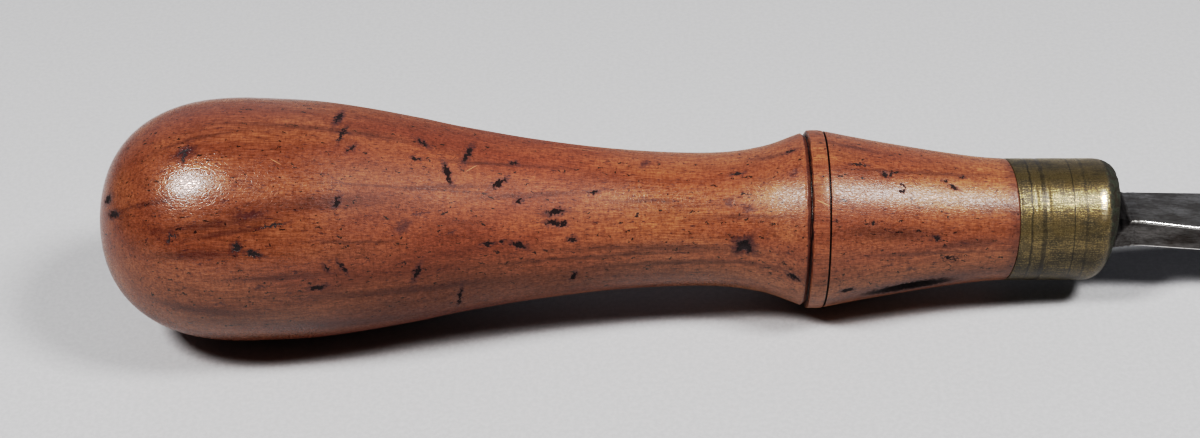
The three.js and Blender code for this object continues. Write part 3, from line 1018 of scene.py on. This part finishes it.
def old_steel():
    material, tree, shader = new_finish("old_steel")
    space = tool_space(tree)
    ragged = shaken(tree, space, 0.9, 0.5)
    along, _, height = split(tree, ragged)
    cloud = patches(tree, ragged, 6.0, 2.2, 0.3, 0.66, 5.0, 0.65)
    colour = blend(tree, lifted(tree, cloud, 0.55, 0.5), STEEL, GREY_PATINA)
    file_lines = grain(tree, space, 9.0, 0.09, 3.0, 0.6)
    colour = blend(tree, between(tree, file_lines, 0.4, 0.72), colour, (0.5, 0.49, 0.47, 1), "MULTIPLY")
    pits = patches(tree, space, 0.45, 0.3, 0.56, 0.72, 4.0, 0.7)
    colour = laid(tree, pits, 0.6, colour, RUST_BROWN)
    brown = patches(tree, space, 7.0, 3.0, 0.52, 0.7, 4.0, 0.6, turn=1.3)
    colour = laid(tree, brown, 0.35, colour, RUST_BROWN)
    # Painted shade: the flanks are darker in colour than the top.
    flank = stored(tree, "flank", "Fac")
    colour = blend(tree, flank, colour, (0.52, 0.51, 0.51, 1), "MULTIPLY")
    worn = stored(tree, "worn", "Fac")
    chipped = patches(tree, space, 1.6, 0.5, 0.3, 0.5, 4.0, 0.7)
    chipped = times(tree, chipped, between(tree, along, NECK_END - 2.0, NECK_END + 1.5))
    worn = times(tree, worn, chipped)
    whetted = between(tree, along, 196.0, 229.0)
    colour = laid(tree, whetted, 0.6, colour, (0.42, 0.41, 0.4, 1))
    slanted = sums(tree, "SUBTRACT", along, times(tree, height, 0.55))
    honed = stored(tree, "ground", "Fac")
    stone = patches(tree, space, 0.07, 6.0, 0.4, 0.7, 3.0, 0.6)
    fresh = blend(tree, stone, (0.7, 0.7, 0.69, 1), (0.5, 0.5, 0.49, 1))
    colour = laid(tree, honed, 0.9, colour, fresh)
    scale = between(tree, slanted, NECK_END - 2.1, NECK_END - 2.9)
    colour = laid(tree, scale, 0.9, colour, SCALE_BLACK)
    colour = blend(tree, worn, colour, BRIGHT_STEEL)
    skin = relief(tree, file_lines, 0.012)
    skin = relief(tree, pits, 0.015, skin)
    skin = relief(tree, grain(tree, space, 0.3, 0.3, 3.0, 0.6), 0.03, skin)
    rough = lifted(tree, cloud, 0.14, 0.32)
    rough = raised(tree, rough, scale, 0.25)
    rough = sums(tree, "SUBTRACT", rough, times(tree, sums(tree, "MAXIMUM", worn, honed), 0.12))
    connect(tree, shader, Base_Color=colour, Roughness=rough, Normal=skin, Metallic=0.95)
    return material


dress(blade, old_steel())

# %% [markdown]
# ## The bench
# The tool lies on pale card: a wide plane, with the faintest mottle so that it isn't a flat colour.

# %% Card under the tool
def pale_card():
    material, tree, shader = new_finish("pale_card")
    place = put(tree, "TexCoord").outputs["Object"]
    fleck = put(tree, "TexNoise", {"Vector": place, "Scale": 1500.0, "Detail": 5.0,
                                    "Roughness": 0.7}).outputs[0]
    colour = blend(tree, between(tree, fleck, 0.36, 0.64), (0.5, 0.502, 0.515, 1), (0.555, 0.556, 0.57, 1))
    connect(tree, shader, Base_Color=colour, Roughness=0.85, Specular_IOR_Level=0.25)
    return material


card = bmesh.new()
bmesh.ops.create_grid(card, x_segments=1, y_segments=1, size=4.0)
card_mesh = bpy.data.meshes.new("card")
card.to_mesh(card_mesh)
card.free()
card_mesh.materials.append(pale_card())
floor = set_down("card", card_mesh)
floor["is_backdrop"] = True

# %% [markdown]
# ## Camera
# The camera looks squarely at the handle's axis from above, so the handle lies level in the picture
# although the tool dips.

# %% Camera
VIEW_ALONG = 64.8  # mm from the butt: where the camera is aimed
CAMERA_DISTANCE = 0.28
CAMERA_HEIGHT = math.radians(FACING)
FILM_WIDTH, LENS = 36, 64.23  # mm

right, square_up = (TOOL.to_3x3().normalized() @ Vector(v) for v in ((1, 0, 0), (0, 0, 1)))
towards_camera = Vector((0, -1, 0)) * math.cos(CAMERA_HEIGHT) + square_up * math.sin(CAMERA_HEIGHT)
camera_up = towards_camera.cross(right)
aim = TOOL @ Vector((VIEW_ALONG, 0, 0))
camera = set_down("camera", bpy.data.cameras.new("camera"))
camera.data.sensor_width = FILM_WIDTH
camera.data.lens = LENS
camera.data.clip_start = 0.01
turned_to = Matrix((right, camera_up, towards_camera)).transposed().to_4x4()
camera.matrix_world = Matrix.Translation(aim + towards_camera * CAMERA_DISTANCE) @ turned_to
bpy.context.scene.camera = camera

# %% [markdown]
# ## Light
# Two lamps stand high in front of the tool, one on either hand, as on a copying stand. Their reflections
# are the highlights on the bulb and on the nose, and the dark gap between them keeps the waist deep in
# colour. The room adds very little: low light from the far side, as from a distant window, which the top
# of the blade mirrors and the handle keeps out of its own shadow.

# %% Lamps and room
LAMP_DISTANCE = 0.52


def soft_lamp(name, sideways, above, size, power):
    """A square lamp aimed at the tool, placed by angles in degrees from the camera's direction."""
    sideways, above = math.radians(sideways), math.radians(above)
    level = towards_camera * math.cos(above) + camera_up * math.sin(above)
    direction = level * math.cos(sideways) + right * math.sin(sideways)
    light = bpy.data.lights.new(name, "AREA")
    light.size = size
    light.energy = power
    light.color = (1.0, 0.99, 0.975)
    lamp = set_down(name, light)
    lamp.location = aim + direction * LAMP_DISTANCE
    lamp.rotation_euler = direction.to_track_quat("Z", "Y").to_euler()
    lamp.visible_camera = False


soft_lamp("left_lamp", -31, 34, 0.115, 1.95)
soft_lamp("right_lamp", 29, 37, 0.12, 1.75)


def dim_room():
    """A room that is dark in front and has soft daylight on its far side."""
    room = bpy.data.worlds.new("room")
    room.use_nodes = True
    tree = room.node_tree
    direction = put(tree, "TexCoord").outputs["Generated"]
    far = between(tree, split(tree, direction)[1], 0.4, 0.9)
    colour = blend(tree, far, (0.006, 0.006, 0.007, 1), (0.34, 0.35, 0.38, 1))
    feed(tree, tree.nodes["Background"].inputs["Color"], colour)
    return room


bpy.context.scene.world = dim_room()

# %% [markdown]
# ## The camera's contrast
# A small camera deepens the darks and holds back the brights, so half-shadows on pale card look faint, and
# the core of a shadow looks black. A curve through a few pairs, light in and light out, does the same.

# %% Contrast curve
TONES = [
    (0, 0), (0.02, 0.009), (0.05, 0.037), (0.106, 0.109), (0.2, 0.275), (0.305, 0.43), (0.45, 0.54),
    (0.62, 0.62), (1, 0.8),
]

view = bpy.context.scene.view_settings
view.view_transform = "Standard"
view.use_curve_mapping = True
whole = view.curve_mapping.curves[3]
while len(whole.points) > 2:
    whole.points.remove(whole.points[1])
whole.points[0].location = TONES[0]
whole.points[-1].location = TONES[-1]
for light_in, light_out in TONES[1:-1]:
    whole.points.new(light_in, light_out)
view.curve_mapping.extend = "EXTRAPOLATED"
view.curve_mapping.update()
print("tones:", [[round(v, 3) for v in point.location] for point in whole.points])

# %% [markdown]
# ## The two boxes
# Both boxes are printed, the plain tool's and the dressed tool's. The dressed tool has to
# stay within the plain tool's box.

# %% Sizes and finish
dressed_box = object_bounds()
for name, box in (("plain", plain_box), ("dressed", dressed_box)):
    print(name, "box in mm:", [[round(v * 1000, 2) for v in corner] for corner in box])
